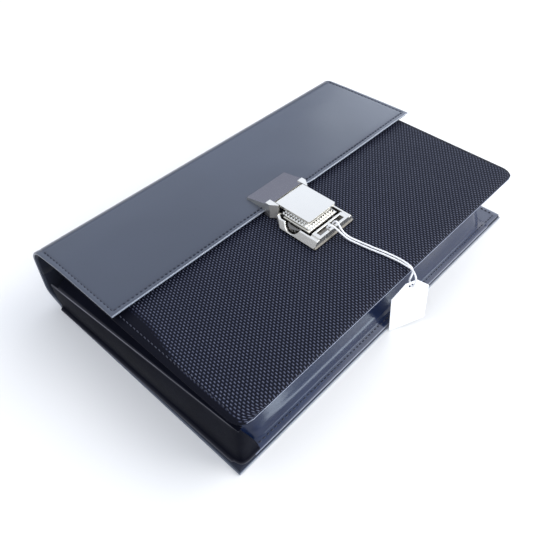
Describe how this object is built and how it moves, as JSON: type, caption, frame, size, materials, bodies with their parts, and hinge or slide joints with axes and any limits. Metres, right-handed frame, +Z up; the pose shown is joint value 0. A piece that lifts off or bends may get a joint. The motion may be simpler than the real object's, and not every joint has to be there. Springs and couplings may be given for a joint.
{
  "type": "cash deposit bag",
  "caption": "Flat leather-look deposit bag lying on its back, with a folding flap, accordion sides, a woven front panel, a chrome combination clasp lock and a string price tag.",
  "frame": {"origin": "bottom centre of the bag as it lies on its back", "axes": "+X to the right across the bag, +Y from the bottom edge to the spine, +Z up out of the front panel"},
  "size_m": [0.3, 0.206, 0.0604],
  "materials": {
    "leather": "smooth semi-gloss navy leather",
    "gusset_leather": "glossy navy leather",
    "side_leather": "matte dark navy leather",
    "weave": "coarse dotted weave, nearly black navy",
    "lining": "plain woven navy lining",
    "board": "grey stiffening board",
    "thread": "waxed navy thread",
    "chrome": "polished chrome plate",
    "steel": "plated steel",
    "string": "white cotton string",
    "card": "plain white card"
  },
  "bodies": {
    "bag": {"back_panel": "leather", "back_board": "board", "back_lining": "lining", "back_thread": "thread", "front_panel": "weave", "front_board": "board", "front_lining": "lining", "front_thread": "thread", "divider": "lining", "bottom_gusset": "gusset_leather", "main_gusset_left": "side_leather", "main_gusset_right": "side_leather", "pocket_gusset_left": "side_leather", "pocket_gusset_right": "side_leather", "lock_base": "steel", "lock_casing": "chrome", "lock_backing_plate": "steel", "lock_rivets": "steel", "wheel_axles": "steel", "detent_springs": "steel", "return_spring": "steel", "tag_string": "string", "tag_card": "card"},
    "spine": {"spine_leather": "leather", "spine_lining": "lining"},
    "flap": {"flap_leather": "leather", "flap_board": "board", "flap_lining": "lining", "flap_thread": "thread", "clasp_housing": "chrome", "clasp_backing_plate": "steel", "clasp_rivets": "steel", "clasp_pin": "steel"},
    "clasp": {"clasp_plate": "chrome", "clasp_hook": "steel"},
    "release": {"release_slide": "chrome", "lock_bolt": "steel"},
    "wheel_left": {"thumbwheel_left": "steel"},
    "wheel_right": {"thumbwheel_right": "steel"}
  },
  "joints": [
    {"name": "spine_fold", "type": "hinge", "parent": "bag", "child": "spine", "pos_m": [0, 0.09181, 0.00469], "axis": [-1, 0, 0], "range_deg": [0, 75]},
    {"name": "flap_fold", "type": "hinge", "parent": "spine", "child": "flap", "pos_m": [0, 0.09299, 0.05069], "axis": [-1, 0, 0], "range_deg": [0, 100]},
    {"name": "clasp_swing", "type": "hinge", "parent": "flap", "child": "clasp", "pos_m": [0.0015, 0.0031, 0.0593], "axis": [-1, 0, 0], "range_deg": [0, 95]},
    {"name": "release_push", "type": "slide", "parent": "bag", "child": "release", "axis": [0, -1, 0], "range_m": [0, 0.0023], "stiffness_N_per_m": 300, "springref_m": -0.002},
    {"name": "wheel_left_turn", "type": "hinge", "parent": "bag", "child": "wheel_left", "pos_m": [-0.013, -0.018, 0.052], "axis": [0, 0, 1], "continuous": true},
    {"name": "wheel_right_turn", "type": "hinge", "parent": "bag", "child": "wheel_right", "pos_m": [0.01, -0.018, 0.052], "axis": [0, 0, 1], "continuous": true}
  ]
}
